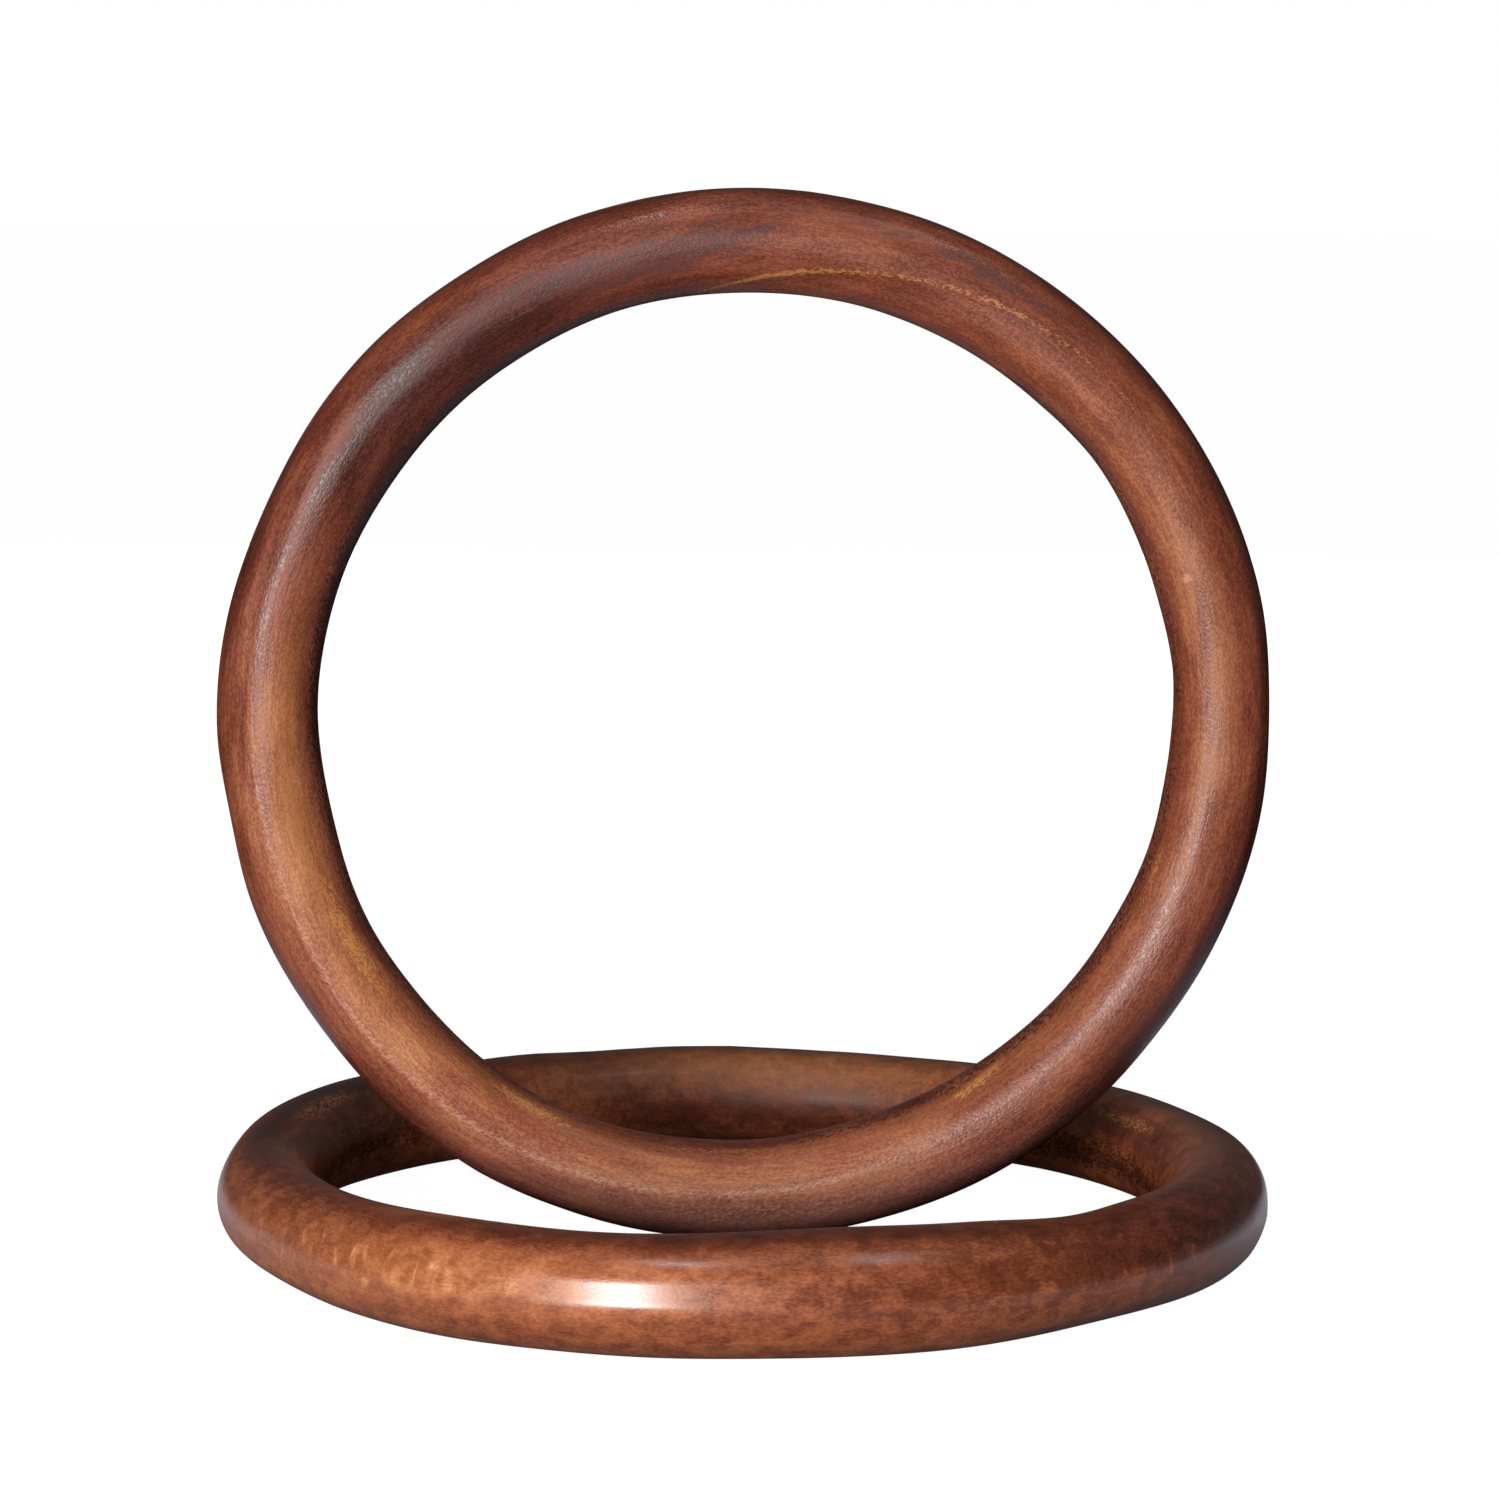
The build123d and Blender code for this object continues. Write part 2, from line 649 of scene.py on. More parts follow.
@dataclass(frozen=True)
class StainedWood:
    """A stained hardwood finish: the wood's colours under white light, plus painted shade, sheen and
    glints.
    """

    name: str
    stains: tuple[tuple[float, Colour], ...]  # places from dark to light, and their colours
    level: float = 0.45  # where most of the surface lies between dark and light
    tone_and_shade_share: float = 0.55  # how far the marked zones lighten or darken

    clouds: Cells = Cells(7.0, 24.0, warp=0.5)
    streaks: Cells = Cells(1.4, 20.0, detail=3.0, warp=0.3)
    fibres: Cells = Cells(0.4, 6.0)
    specks: Cells = Cells(0.5, 0.9, low=0.35, high=0.65, detail=1.0)
    flecks: Cells = Cells(0.55, 1.1, low=0.42, high=0.62, warp=0.8, place=SPIRAL_PLACE)
    wisps: Cells = Cells(1.7, 15.0, detail=3.0, warp=0.6, place=SPIRAL_PLACE)
    curls: Cells = Cells(9.0, 4.5, low=0.5, high=0.75, detail=1.0, warp=1.3)
    cloud_share: float = 0.2
    streak_share: float = 0.13
    fibre_share: float = 0.1
    speck_share: float = 0.16
    curl_share: float = 0.0  # the cross figure

    ember: Colour = tint(138, 62, 40)
    ember_share: float = 0.3
    smoky: Patches = Patches(Mark.SMOKY, tint(72, 48, 47), share=0.8, edge=0.6, strength=0.65)
    golden: Film = Film(Mark.GOLDEN, tint(150, 98, 54), strength=0.3, gain=0.35)
    # Painted sheen with some dust: a violet-grey film where the floor shows in the lower front
    dust_and_sheen: Film = Film(Mark.DUST_AND_SHEEN, tint(116, 82, 78))
    # Dark stain, with painted shade on inner faces and undersides
    dark_stain_and_shade: Patches = Patches(Mark.DARK_STAIN_AND_SHADE, tint(40, 15, 10), share=0.5, edge=0.5, strength=0.85)
    # Painted glints and sheen: pale flecks along the key light's sheen line
    glints_and_sheen: Patches = Patches(Mark.GLINT_AND_SHEEN, tint(206, 164, 146), share=0.42, edge=0.5, strength=0.3)
    rubbed: Patches = Patches(Mark.RUBBED, tint(188, 130, 70), share=0.46, edge=0.4, strength=0.54)

    roughness: float = 0.44
    roughness_play: float = 0.12
    polish_gain: float = 0.2  # how much smoother a burnished place is
    coat: float = 0.0
    coat_roughness: float = 0.1
    specular: float = 0.36
    bump: float = 0.55
    bump_height: float = 0.06 * MM
    streak_height: float = 0.6  # share of the height that streaks stand up
    fibre_depth: float = 0.5  # how far down fibres lie beside the specks

    def make(self, grain: bpy.types.NodeTree, broken: bpy.types.NodeTree) -> bpy.types.Material:
        """Builds the material.

        Args:
            grain: The group that makes noise along the bar.
            broken: The group that breaks up a zone's edge.

        Returns:
            The material.
        """
        material = bpy.data.materials.new(self.name)
        material.use_nodes = True
        material.node_tree.nodes.clear()
        bench = Bench(material.node_tree)
        kinds = (self.clouds, self.streaks, self.fibres, self.specks, self.flecks, self.wisps)
        clouds, streaks, fibres, specks, flecks, wisps = (kind.draw(bench, grain) for kind in kinds)

        # Tone, partly painted shade and light
        level = bench.math("MULTIPLY_ADD", bench.mark(Mark.TONE_AND_SHADE), self.tone_and_shade_share, self.level)
        layers = ((clouds, self.cloud_share), (streaks, self.streak_share), (fibres, self.fibre_share),
                  (specks, self.speck_share))
        for pattern, share in layers:
            level = bench.math("ADD", level, bench.math("MULTIPLY_ADD", pattern, share, -share / 2))
        if self.curl_share:
            curl = bench.math("MULTIPLY", self.curls.draw(bench, grain), bench.mark(Mark.CURLY))
            level = bench.math("MULTIPLY_ADD", curl, self.curl_share, level)

        colour = self.stained(bench, level)
        glow = bench.math("MULTIPLY", bench.mark(Mark.SMOKY), self.ember_share)
        colour = bench.blend(glow, colour, self.ember)
        colour = self.smoky.lay(bench, broken, wisps, colour)
        colour = self.golden.lay(bench, flecks, colour)
        # Painted sheen with some dust
        colour = self.dust_and_sheen.lay(bench, specks, colour)
        # Dark stain with painted shade, then painted glints and sheen, then gold rubbed through
        for patches in (self.dark_stain_and_shade, self.glints_and_sheen, self.rubbed):
            colour = patches.lay(bench, broken, flecks, colour)

        uneven = bench.math("SUBTRACT", bench.math("ADD", specks, clouds), 1.0)
        rough = bench.math("MULTIPLY_ADD", uneven, self.roughness_play, self.roughness)
        rough = bench.math("MULTIPLY_ADD", bench.mark(Mark.POLISH), -self.polish_gain, rough, clamp=True)
        hollows = bench.math("MULTIPLY_ADD", fibres, self.fibre_depth, specks)
        height = bench.math("SUBTRACT", bench.math("MULTIPLY", streaks, self.streak_height), hollows)
        relief = bench.node("ShaderNodeBump", {
            "Height": height, "Strength": self.bump, "Distance": self.bump_height})
        shader = bench.node("ShaderNodeBsdfPrincipled", {
            "Base Color": colour, "Roughness": rough, "Normal": relief.outputs[0],
            "Specular IOR Level": self.specular, "Coat Weight": self.polish(bench),
            "Coat Roughness": self.coat_roughness,
        })
        bench.node("ShaderNodeOutputMaterial", {"Surface": shader.outputs[0]})
        return material

    def polish(self, bench: Bench) -> Value:
        """How much clear coat there is: more where it is burnished, and none where it is dulled.

        Args:
            bench: Where the material is being built.

        Returns:
            The coat's weight, a plain zero where the finish has none.
        """
        if not self.coat:
            return 0.0
        return bench.math("MULTIPLY_ADD", bench.mark(Mark.POLISH), self.coat, self.coat, clamp=True)

    def stained(self, bench: Bench, level: Socket) -> Socket:
        """The stain's colour from dark to light.

        Args:
            bench: Where the material is being built.
            level: The place between the darkest and the lightest stain.

        Returns:
            The colour.
        """
        made = bench.node("ShaderNodeValToRGB", {"Fac": level})
        points = made.color_ramp.elements
        while len(points) < len(self.stains):
            points.new(0.5)
        for point, (position, colour) in zip(points, self.stains):
            point.position = position
            point.color = (*colour, 1.0)
        return made.outputs["Color"]


SATIN = StainedWood(
    name="satin walnut stain",
    stains=((0.0, tint(56, 22, 14)), (0.3, tint(94, 43, 29)), (0.55, tint(125, 66, 44)),
            (0.8, tint(156, 97, 61)), (1.0, tint(180, 124, 78))),
)
GLOSSY = StainedWood(
    name="glossy chestnut stain",
    stains=((0.0, tint(52, 22, 14)), (0.3, tint(103, 49, 28)), (0.55, tint(145, 81, 49)),
            (0.8, tint(177, 111, 71)), (1.0, tint(208, 155, 110))),
    # Painted sheen with some dust: the sky's grey-olive reflection on the top and back
    dust_and_sheen=Film(Mark.DUST_AND_SHEEN, tint(92, 74, 58)),
    clouds=Cells(3.6, 5.0, warp=0.5),
    cloud_share=0.19,
    roughness=0.38,
    roughness_play=0.08,
    specular=0.3,
    coat=0.4,
    coat_roughness=0.22,
    curl_share=0.38,
    streak_share=0.05,
    fibre_share=0.04,
    speck_share=0.12,
    bump=0.25,
)


# --------------------------------------------------------------------------------------------------
# The rings


@dataclass
class Ring:
    """One ring: its bar's surface and its finish."""

    node: str
    slot: str
    attitude: Attitude
    finish: StainedWood
    work: HandWork
    markings: Markings
    turn_steps: int = 960
    across_steps: int = 98

    def grid(self) -> tuple[np.ndarray, np.ndarray]:
        """The angles at the surface's grid points.

        Returns:
            A column of turns and a row of angles across.
        """
        steps = (self.turn_steps, self.across_steps)
        turn, across = (np.linspace(0, 360, count, endpoint=False) for count in steps)
        return turn[:, None], across[None, :]

    def surface(self) -> tuple[np.ndarray, dict[str, np.ndarray]]:
        """The worked surface.

        A point lies at the ring's middle, plus the spoke times the bar's distance out, plus the axis times
        its height, plus the bar's radius and relief along the direction across: the spoke times the cosine
        of the angle across, plus the axis times its sine. What would lie below the floor is cut flat.

        Returns:
            The points, one row each, and by attribute name their places in the section and on the circle.
        """
        turn, across = self.grid()
        line = BarLine.read(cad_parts[self.node], self.attitude)
        out, up, radius = (values[:, None] for values in line.at(turn[:, 0]))
        reach = float(out.mean())
        worked = radius + self.work.relief(turn, across, radius, reach)
        first, second, axis = np.array(self.attitude.value, float)
        angle, tilt = np.radians(turn), np.radians(across)
        spoke = first * np.cos(angle)[..., None] + second * np.sin(angle)[..., None]
        towards = spoke * np.cos(tilt)[..., None] + axis * np.sin(tilt)[..., None]
        points = line.middle + spoke * out[..., None] + axis * up[..., None] + towards * worked[..., None]
        points[..., 2] = np.maximum(points[..., 2], CAD_BOX[0].z)
        slanting = tilt - SPIRAL_TURNS * angle
        none = np.zeros_like(worked)
        return points.reshape(-1, 3), {
            SECTION_PLACE: np.stack([worked * np.cos(tilt), worked * np.sin(tilt), none], -1),
            SPIRAL_PLACE: np.stack([worked * np.cos(slanting), worked * np.sin(slanting), none], -1),
            LINE_PLACE: np.stack([reach * np.cos(angle) + none, reach * np.sin(angle) + none, none], -1),
        }

    def faces(self) -> tuple[np.ndarray, np.ndarray]:
        """The quads between neighbours on the closed grid, facing out, with their places on the UV map.

        Returns:
            Corner numbers, four to a row, and the map places of all corners, two to a row.
        """
        rows, columns = np.indices((self.turn_steps, self.across_steps))
        corners, places = [], []
        for down, right in ((0, 0), (0, 1), (1, 1), (1, 0)):
            row, column = rows + down, columns + right
            corners.append(row % self.turn_steps * self.across_steps + column % self.across_steps)
            places.append(np.stack([row / self.turn_steps, column / self.across_steps], -1))
        return np.stack(corners, -1).reshape(-1, 4), np.stack(places, 2).reshape(-1, 2)

    def build(self) -> bpy.types.Object:
        """Makes the ring's piece and lets it stand for its CAD node.

        Returns:
            The piece.
        """
        points, places_of = self.surface()
        corners, places = self.faces()
        mesh = bpy.data.meshes.new(f"{self.node}_bar")
        mesh.from_pydata(points.tolist(), [], corners.tolist())
        mesh.polygons.foreach_set("use_smooth", np.ones(len(corners), bool))
        mesh.uv_layers.new(name="along_and_across").uv.foreach_set("vector", places.ravel())
        for name, values in places_of.items():
            mesh.attributes.new(name, "FLOAT_VECTOR", "POINT").data.foreach_set("vector", values.ravel())
        turn, across = self.grid()
        for mark in Mark:
            areas = self.markings.get(mark, ())
            strength = sum((area.on(turn, across) for area in areas), np.zeros((len(turn), across.size)))
            values = np.clip(strength, -1, 1).ravel()
            mesh.attributes.new(mark.value, "FLOAT", "POINT").data.foreach_set("value", values)
        mesh.update()
        piece = bpy.data.objects.new(f"{self.node}_bar", mesh)
        bpy.context.scene.collection.objects.link(piece)
        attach(piece, self.node)
        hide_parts(self.node)
        return piece

    def dress(self, piece: bpy.types.Object, grain: bpy.types.NodeTree, broken: bpy.types.NodeTree) -> None:
        """Gives the piece its finish.

        Args:
            piece: The ring's piece.
            grain: The group that makes noise along the bar.
            broken: The group that breaks up a zone's edge.
        """
        piece.data.materials.append(self.finish.make(grain, broken))


UPPER_ARRIS = Trail(
    stops=((0, 100, 0.35), (20, 98, 0.3), (31, 83, 0.25), (40, 75, 0.4), (50, 77, 0.55), (60, 85, 0.75),
           (68, 96, 0.6), (76, 110, 0.7), (84, 123, 0.9), (90, 137, 1.0), (94, 151, 0.8), (98, 167, 0.3),
           (103, 175, 0.0), (345, 103, 0.0)),
    width=7,
)
# Where the key light's sheen runs round the standing ring, along an arris; the pale flecks laid on it are
# painted glints
KEY_SHEEN_LINE = Trail(
    stops=((150, 70, 0.0), (165, 72, 0.3), (185, 74, 0.5), (215, 78, 0.7), (245, 90, 0.5),
           (290, 105, 0.45), (335, 112, 0.55), (360, 116, 0.35), (380, 117, 0.25), (395, 106, 0.2),
           (405, 104, 0.0)),
    width=9,
)


def standing_ring() -> Ring:
    """The ring that stands: satin, dark red-brown, rubbed through to gold along its upper right.

    Returns:
        The ring.
    """
    shaved = Trail(stops=((10, 98, 0.0), (30, 84, 0.5), (45, 76, 0.8), (60, 85, 1.0), (80, 116, 1.0),
                          (92, 142, 0.7), (105, 150, 0.0)))
    top_flat = Trail(stops=((52, 46, 0.0), (62, 47, 0.7), (74, 48, 0.5), (88, 48, 0.5), (102, 49, 1.0),
                            (114, 50, 0.0)))
    left_flat = Trail(stops=((140, 48, 0.0), (165, 48, 0.7), (185, 50, 0.8), (215, 54, 0.8),
                             (240, 62, 0.0)))
    # Darker near the outer edge over most of the ring: painted shade where the light grazes the bar
    outer = Trail(stops=((0, 20, -0.45), (30, 20, -0.5), (60, 18, -0.2), (95, 18, -0.3), (135, 18, -0.2),
                         (165, 20, -0.5), (188, 20, 0.0), (212, 20, -0.3), (245, 22, -0.5),
                         (290, 26, -0.85), (330, 30, -0.6)), width=40)
    # The inner face darker all round: dark stain, with painted shade in the ring's hollow
    inner = Trail(stops=((0, 166, 0.35), (40, 166, 0.45), (80, 172, 0.2), (108, 168, 0.8), (140, 160, 1.0),
                         (165, 158, 0.75), (196, 166, 0.5), (215, 172, 0.5), (245, 174, 0.35),
                         (285, 170, 0.6), (330, 168, 0.6)), width=38)
    return Ring(
        node="standing_ring",
        slot="satin_wood",
        attitude=Attitude.STANDING,
        finish=SATIN,
        work=HandWork(
            seed=11,
            flats=(Flat(shaved, 15), Flat(top_flat, 12), Flat(left_flat, 11)),
            crests=(
                Crest(turn=7, across=INNER, rise=-0.4 * MM),
                Crest(turn=38, across=INNER, rise=-0.4 * MM),
                Crest(turn=240, across=OUTER, rise=0.4 * MM),
            ),
            swells=(
                *(swell(turn, INNER, long, rise) for turn, long, rise in (
                    (18, 18, 0.8), (90, 18, 0.7), (138, 42, 0.9), (212, 18, -0.6), (240, 16, -0.5),
                    (303, 24, -0.35), (341, 12, -0.5))),
                *(swell(turn, OUTER, long, rise) for turn, long, rise in (
                    (2, 14, -0.65), (122, 15, -0.6), (156, 13, -0.4), (191, 10, -0.6), (217, 14, -0.35),
                    (250, 12, -0.35), (322, 11, -0.5))),
            ),
        ),
        markings={
            Mark.TONE_AND_SHADE: (
                outer,
                Zone(turn=206, across=96, long=58, wide=60, amount=0.6),
                Zone(turn=130, across=108, long=50, wide=90, amount=-0.8),
                Zone(turn=318, across=50, long=38, wide=36, amount=-0.55),
                Zone(turn=270, across=112, long=60, wide=58, amount=0.4),
                Zone(turn=0, across=115, long=60, wide=50, amount=0.35),
                Zone(turn=40, across=112, long=35, wide=40, amount=0.15),
                Zone(turn=80, across=160, long=45, wide=35, amount=-0.15),
            ),
            Mark.RUBBED: (
                UPPER_ARRIS,
                Zone(turn=209, across=124, long=16, wide=22, amount=0.8),
                Zone(turn=241, across=145, long=12, wide=18, amount=0.8),
                Zone(turn=270, across=152, long=30, wide=14, amount=0.45),
                Zone(turn=303, across=146, long=9, wide=16, amount=0.8, slant=1.5),
                Zone(turn=340, across=144, long=16, wide=14, amount=0.5),
            ),
            Mark.SMOKY: (
                Zone(turn=101, across=98, long=20, wide=34, amount=0.9, slant=1.2),
                Zone(turn=118, across=86, long=16, wide=24, amount=0.35),
                Zone(turn=62, across=58, long=24, wide=18, amount=0.5),
            ),
            Mark.GOLDEN: (
                Zone(turn=188, across=114, long=36, wide=34, amount=0.95),
                Zone(turn=8, across=94, long=24, wide=26, amount=0.5),
                Zone(turn=240, across=142, long=32, wide=30, amount=0.6),
                Zone(turn=305, across=142, long=42, wide=28, amount=0.55),
            ),
            Mark.DARK_STAIN_AND_SHADE: (inner,),
            # Painted sheen with some dust on the lower front: the floor and the lying ring as reflected
            Mark.DUST_AND_SHEEN: (Zone(turn=270, across=60, long=60, wide=55, amount=0.9),),
            # Painted glints along the key light's sheen line, painted sheen on the lower front, and one
            # tiny painted glint on the right
            Mark.GLINT_AND_SHEEN: (KEY_SHEEN_LINE, Zone(turn=272, across=72, long=50, wide=40, amount=0.4),
                        Zone(turn=19, across=118, long=0.7, wide=8, amount=2.0)),
            Mark.POLISH: (
                Zone(turn=101, across=49, long=15, wide=20, amount=1.0),
                Zone(turn=67, across=49, long=14, wide=18, amount=0.7),
                Zone(turn=130, across=85, long=32, wide=50, amount=-0.4),
            ),
        },
    )


def lying_ring() -> Ring:
    """The ring that lies flat: glossier and more orange, with curly figure on its front.

    Returns:
        The ring.
    """
    front_flat = Trail(stops=((215, 3, 0.0), (240, 2, 1.0), (268, 2, 1.0), (300, 3, 0.5), (325, 4, 0.0)))
    top = Trail(stops=((0, 80, -0.4), (40, 80, -0.5), (90, 85, -0.45), (140, 90, -0.6), (180, 80, -0.55),
                       (215, 75, -0.25), (270, 78, -0.5), (330, 75, -0.4)), width=38)
    return Ring(
        node="lying_ring",
        slot="glossy_wood",
        attitude=Attitude.LYING,
        finish=GLOSSY,
        work=HandWork(
            seed=37,
            facet_share=0.2,
            flats=(Flat(front_flat, 12),),
            crests=(
                Crest(turn=89, across=75, rise=0.7 * MM, long=12),
                Crest(turn=115, across=75, rise=0.3 * MM, long=8),
            ),
            swells=(
                swell(turn=266, across=OUTER, long=26, rise=1.0, wide=80),
                swell(turn=108, across=75, long=13, rise=-0.5),
                swell(turn=150, across=225, long=20, rise=-1.3, wide=55),
                swell(turn=312, across=-60, long=24, rise=-1.2),
                swell(turn=308, across=105, long=14, rise=-0.7, wide=40),
            ),
        ),
        markings={
            Mark.TONE_AND_SHADE: (
                top,
                Zone(turn=244, across=20, long=42, wide=50, amount=0.3),
                # Lighter on the lower left rim: painted reflection of the floor
                Zone(turn=206, across=-30, long=34, wide=40, amount=0.35),
                Zone(turn=325, across=30, long=42, wide=50, amount=-0.6),
                Zone(turn=288, across=10, long=35, wide=60, amount=-0.25),
                Zone(turn=80, across=185, long=45, wide=50, amount=-0.5),
                # Darker on the back left: painted shadow of the standing ring
                Zone(turn=150, across=128, long=50, wide=75, amount=-0.6),
                Zone(turn=20, across=145, long=35, wide=40, amount=-0.5),
            ),
            Mark.RUBBED: (
                Zone(turn=20, across=135, long=16, wide=18, amount=0.75),
                Zone(turn=160, across=112, long=20, wide=30, amount=0.55),
            ),
            Mark.GOLDEN: (
                Zone(turn=228, across=12, long=40, wide=50, amount=0.3),
                Zone(turn=85, across=130, long=46, wide=60, amount=0.6),
                Zone(turn=355, across=90, long=30, wide=40, amount=0.4),
            ),
            # Painted sheen with some dust on the back bar and along the top: the sky as reflected
            Mark.DUST_AND_SHEEN: (
                Zone(turn=85, across=140, long=55, wide=50, amount=0.6),
                Zone(turn=50, across=92, long=110, wide=40, amount=0.6),
            ),
            Mark.POLISH: (Zone(turn=80, across=160, long=90, wide=90, amount=-1.0),),
            Mark.CURLY: (
                Zone(turn=226, across=14, long=34, wide=42, amount=1.0),
                Zone(turn=312, across=4, long=26, wide=32, amount=0.7),
                Zone(turn=275, across=10, long=40, wide=40, amount=0.3),
                Zone(turn=85, across=120, long=40, wide=50, amount=0.4),
            ),
            # Dark stain with painted shade: the back left under the standing ring's shadow, and the
            # underside at the back right
            Mark.DARK_STAIN_AND_SHADE: (
                Zone(turn=160, across=172, long=55, wide=50, amount=0.8),
                Zone(turn=25, across=190, long=55, wide=40, amount=0.8),
            ),
        },
    )


# --------------------------------------------------------------------------------------------------
# Studio

WARM, COOL = (1.0, 0.98, 0.96), (0.9, 0.95, 1.0)


def facing(azimuth: float, elevation: float) -> Vector:
    """The direction out to a place round the object, by angles in degrees. Azimuth 0 is its front."""
    turn, rise = math.radians(azimuth), math.radians(elevation)
    return Vector((math.sin(turn) * math.cos(rise), -math.cos(turn) * math.cos(rise), math.sin(rise)))


@dataclass(frozen=True)
class SoftLight:
    """A round soft light, aimed at the middle of the object."""

    name: str
    azimuth: float
    elevation: float
    distance: float  # from the object's middle
    size: float  # across
    power: float  # watts
    colour: Colour = WHITE
    shines: bool = True  # whether polish mirrors it

    def build(self, middle: Vector) -> None:
        """Hangs the light.

        Args:
            middle: The object's middle.
        """
        lamp = bpy.data.lights.new(self.name, "AREA")
        lamp.shape = "DISK"
        lamp.size = self.size
        lamp.energy = self.power
        lamp.color = self.colour
        holder = bpy.data.objects.new(self.name, lamp)
        holder.visible_camera = False
        holder.visible_glossy = self.shines
        away = facing(self.azimuth, self.elevation)
        holder.location = middle + away * self.distance
        holder.rotation_euler = away.to_track_quat("Z", "Y").to_euler()
        bpy.context.scene.collection.objects.link(holder)


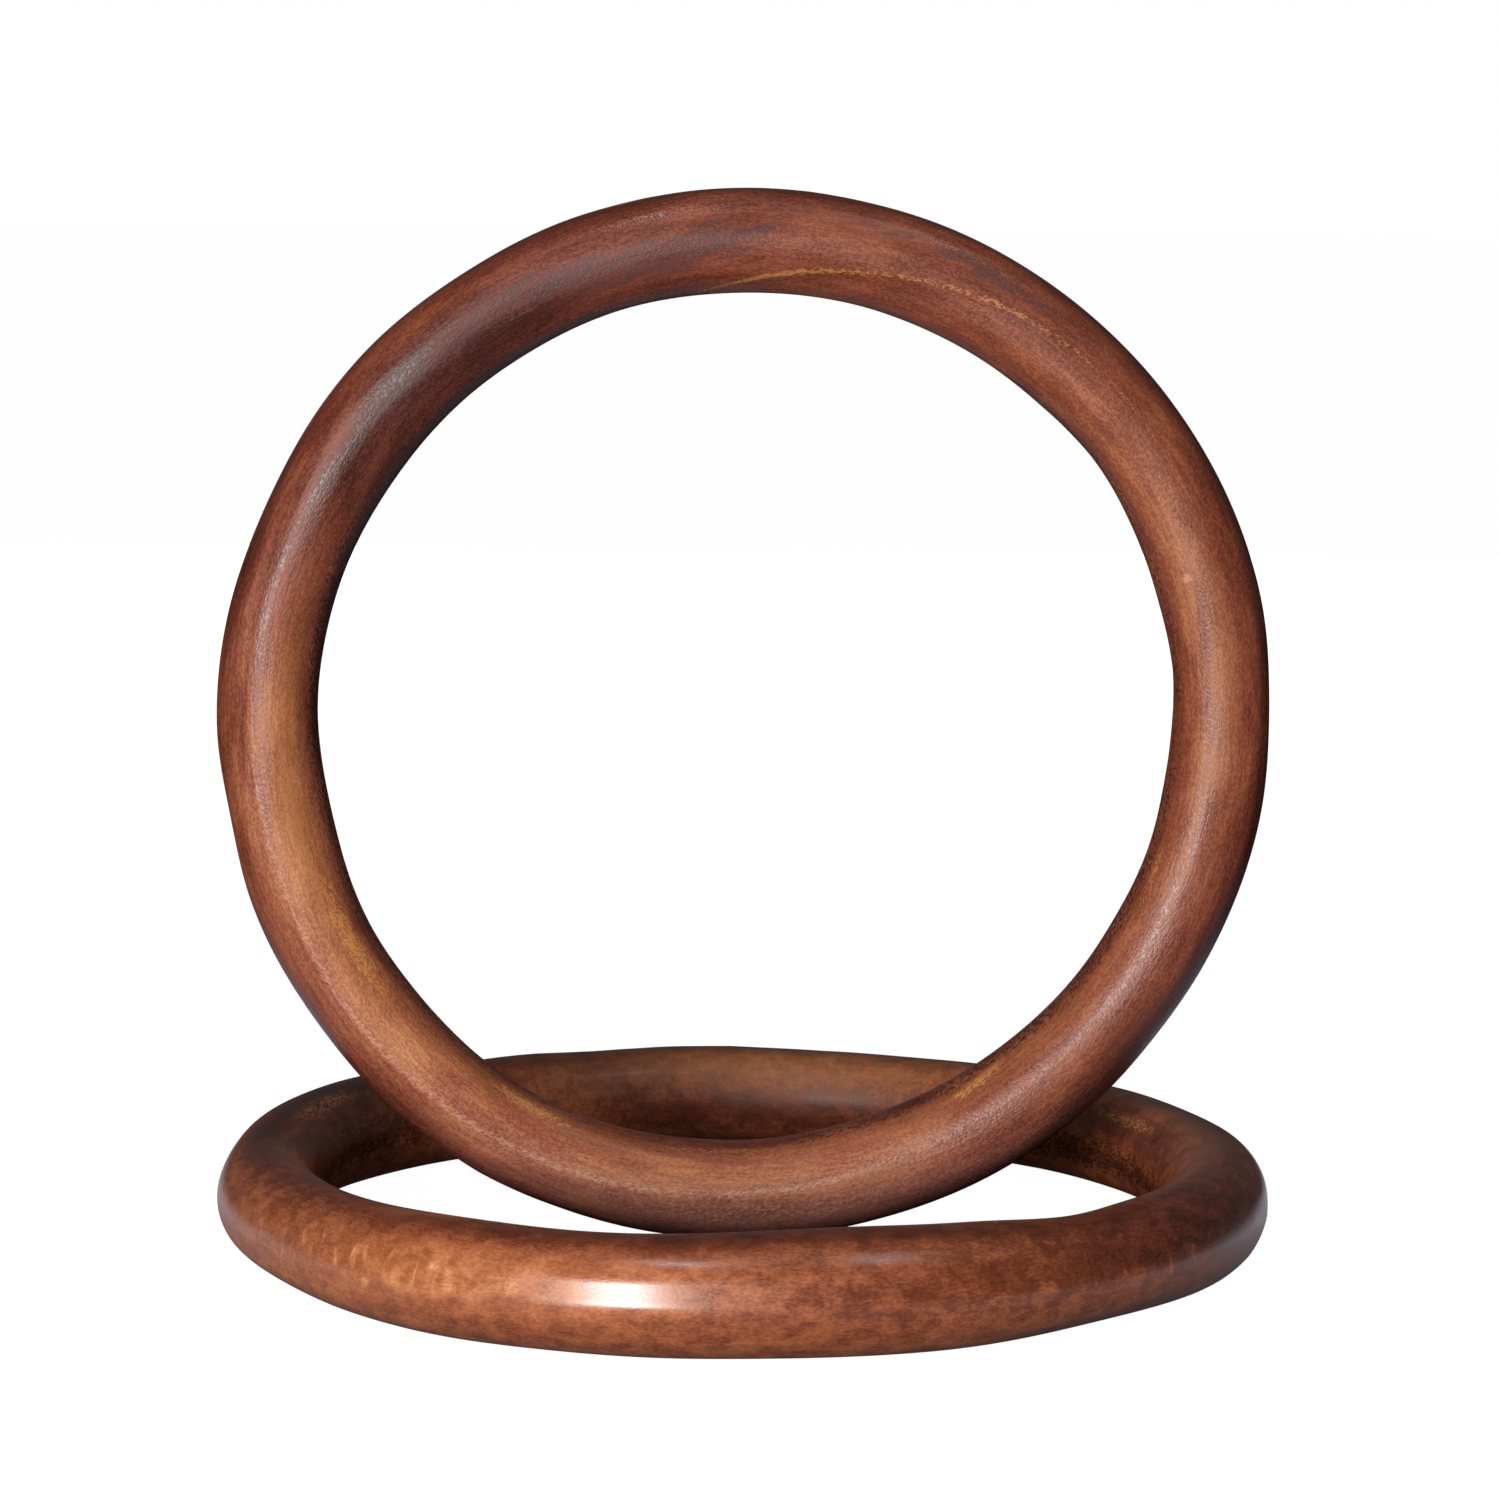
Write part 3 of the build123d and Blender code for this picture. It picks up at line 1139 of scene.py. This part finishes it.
@dataclass(frozen=True)
class Studio:
    """A white room: a round pale floor, soft lights and one camera."""

    lights: tuple[SoftLight, ...] = (
        SoftLight("key", azimuth=-25, elevation=6, distance=1.8, size=0.5, power=42, colour=WARM),
        SoftLight("fill", azimuth=15, elevation=16, distance=1.8, size=1.2, power=7, colour=WARM,
                  shines=False),
        SoftLight("high left", azimuth=-30, elevation=72, distance=1.5, size=0.2, power=2.4, colour=COOL),
        SoftLight("high right", azimuth=55, elevation=64, distance=1.5, size=0.35, power=2.2, colour=COOL),
        SoftLight("back", azimuth=178, elevation=8, distance=2.0, size=1.2, power=26, shines=False),
    )
    room_colour: Colour = (0.92, 0.95, 1.0)
    room_light: float = 0.07
    room_gloss: float = 0.065  # how bright the room looks in the rings' polish
    floor_radius: float = 14.0
    floor_sides: int = 96
    floor_colour: float = 0.12
    floor_glow: float = 0.9  # how bright the floor looks by itself
    floor_gloss: float = 0.75  # how bright it looks in the rings' polish, at its brightest
    floor_shade: tuple[float, float] = (0.11, 0.18)  # how far out it brightens there, past their shade
    floor_fade: tuple[float, float] = (0.18, 0.34)  # and how far out it darkens again
    floor_bounce: float = 0.08  # how much light it throws up besides what falls on it
    floor_cast: Colour = (0.86, 0.88, 1.0)  # colour of its gloss and bounce
    camera_azimuth: float = -2.8
    camera_elevation: float = 7.3
    camera_roll: float = 0.62
    camera_distance: float = 1.173
    lens: float = 113.5
    sensor_width: float = 36.0
    near_limit: float = 0.05  # nothing closer is drawn
    aim_height: float = 0.472  # share of the object's height
    aim_right: float = 0.7 * MM

    def build_floor(self, level: float) -> None:
        """Lays a round floor: points at even angles round a circle, joined as one face.

        Args:
            level: The floor's height.
        """
        angle = np.linspace(0, 2 * np.pi, self.floor_sides, endpoint=False)
        rim = np.stack([self.floor_radius * np.cos(angle), self.floor_radius * np.sin(angle),
                        np.full(self.floor_sides, level)], -1)
        mesh = bpy.data.meshes.new("floor")
        mesh.from_pydata(rim.tolist(), [], [list(range(self.floor_sides))])
        floor = bpy.data.objects.new("floor", mesh)
        bpy.context.scene.collection.objects.link(floor)
        floor.data.materials.append(self.floor_material())

    def floor_material(self) -> bpy.types.Material:
        """A pale floor, matt with a glow of its own: white to look at, softer in reflections and as bounce.

        Returns:
            The floor's material.
        """
        material = bpy.data.materials.new("white sweep")
        material.use_nodes = True
        material.node_tree.nodes.clear()
        bench = Bench(material.node_tree)
        path = bench.node("ShaderNodeLightPath")
        seen, polish = path.outputs["Is Camera Ray"], path.outputs["Is Glossy Ray"]
        matt = bench.node("ShaderNodeBsdfDiffuse", {
            "Color": bench.blend(polish, (self.floor_colour,) * 3, BLACK)})
        cast = bench.blend(seen, self.floor_cast, WHITE)
        strength = bench.math("MULTIPLY_ADD", seen, self.floor_glow, self.floor_bounce)
        place = bench.node("ShaderNodeTexCoord").outputs["Object"]
        away = bench.node("ShaderNodeVectorMath", {0: place}, operation="LENGTH").outputs["Value"]
        lit, far = bench.ramp(away, *self.floor_shade), bench.ramp(away, *self.floor_fade)
        near = bench.math("SUBTRACT", lit, far)
        change = bench.math("MULTIPLY_ADD", near, self.floor_gloss, -self.floor_bounce)
        strength = bench.math("MULTIPLY_ADD", polish, change, strength)
        glow = bench.node("ShaderNodeEmission", {"Color": cast, "Strength": strength})
        both = bench.node("ShaderNodeAddShader", {0: matt.outputs[0], 1: glow.outputs[0]})
        bench.node("ShaderNodeOutputMaterial", {"Surface": both.outputs[0]})
        return material

    def build_room(self) -> None:
        """Fills the room with even light, and shows it as plain white."""
        world = bpy.data.worlds.new("white room")
        world.use_nodes = True
        world.node_tree.nodes.clear()
        bench = Bench(world.node_tree)
        path = bench.node("ShaderNodeLightPath")
        seen, polish = path.outputs["Is Camera Ray"], path.outputs["Is Glossy Ray"]
        strength = bench.math("MULTIPLY_ADD", seen, 1.0 - self.room_light, self.room_light)
        strength = bench.math("MULTIPLY_ADD", polish, self.room_gloss - self.room_light, strength)
        colour = bench.blend(seen, self.room_colour, WHITE)
        light = bench.node("ShaderNodeBackground", {"Color": colour, "Strength": strength})
        bench.node("ShaderNodeOutputWorld", {"Surface": light.outputs[0]})
        bpy.context.scene.world = world

    def build_camera(self, low: Vector, high: Vector) -> None:
        """Places the camera in front, a little above the object and turned a touch.

        Args:
            low: The object's lowest corner.
            high: Its highest corner.
        """
        back = facing(self.camera_azimuth, self.camera_elevation)
        right = Vector((0, 0, 1)).cross(back).normalized()
        upward = back.cross(right)
        aim = (low + high) / 2
        aim.z = low.z + self.aim_height * (high.z - low.z)
        aim += right * self.aim_right
        turned = Matrix.Rotation(math.radians(self.camera_roll), 3, back)
        lens = bpy.data.cameras.new("camera")
        lens.lens = self.lens
        lens.sensor_width = self.sensor_width
        lens.clip_start = self.near_limit
        holder = bpy.data.objects.new("camera", lens)
        basis = Matrix((turned @ right, turned @ upward, back)).transposed()
        holder.matrix_world = Matrix.Translation(aim + back * self.camera_distance) @ basis.to_4x4()
        bpy.context.scene.collection.objects.link(holder)
        bpy.context.scene.camera = holder

    def build(self, low: Vector, high: Vector) -> None:
        """Builds the whole studio round the object's box.

        Args:
            low: The object's lowest corner.
            high: Its highest corner.
        """
        self.build_room()
        self.build_floor(low.z)
        for light in self.lights:
            light.build((low + high) / 2)
        self.build_camera(low, high)
        bpy.context.scene.view_settings.view_transform = "Standard"


def main() -> None:
    """Builds the studio and both rings, in order."""
    logging.basicConfig(level=logging.INFO, format="%(name)s: %(message)s")
    Studio().build(*CAD_BOX)
    grain, broken = grain_group(), broken_group()
    for ring in (lying_ring(), standing_ring()):
        piece = ring.build()
        ring.dress(piece, grain, broken)
        log.info("%s: %d faces, %s", piece.name, len(piece.data.polygons), ring.finish.name)


if __name__ == "__main__":
    main()
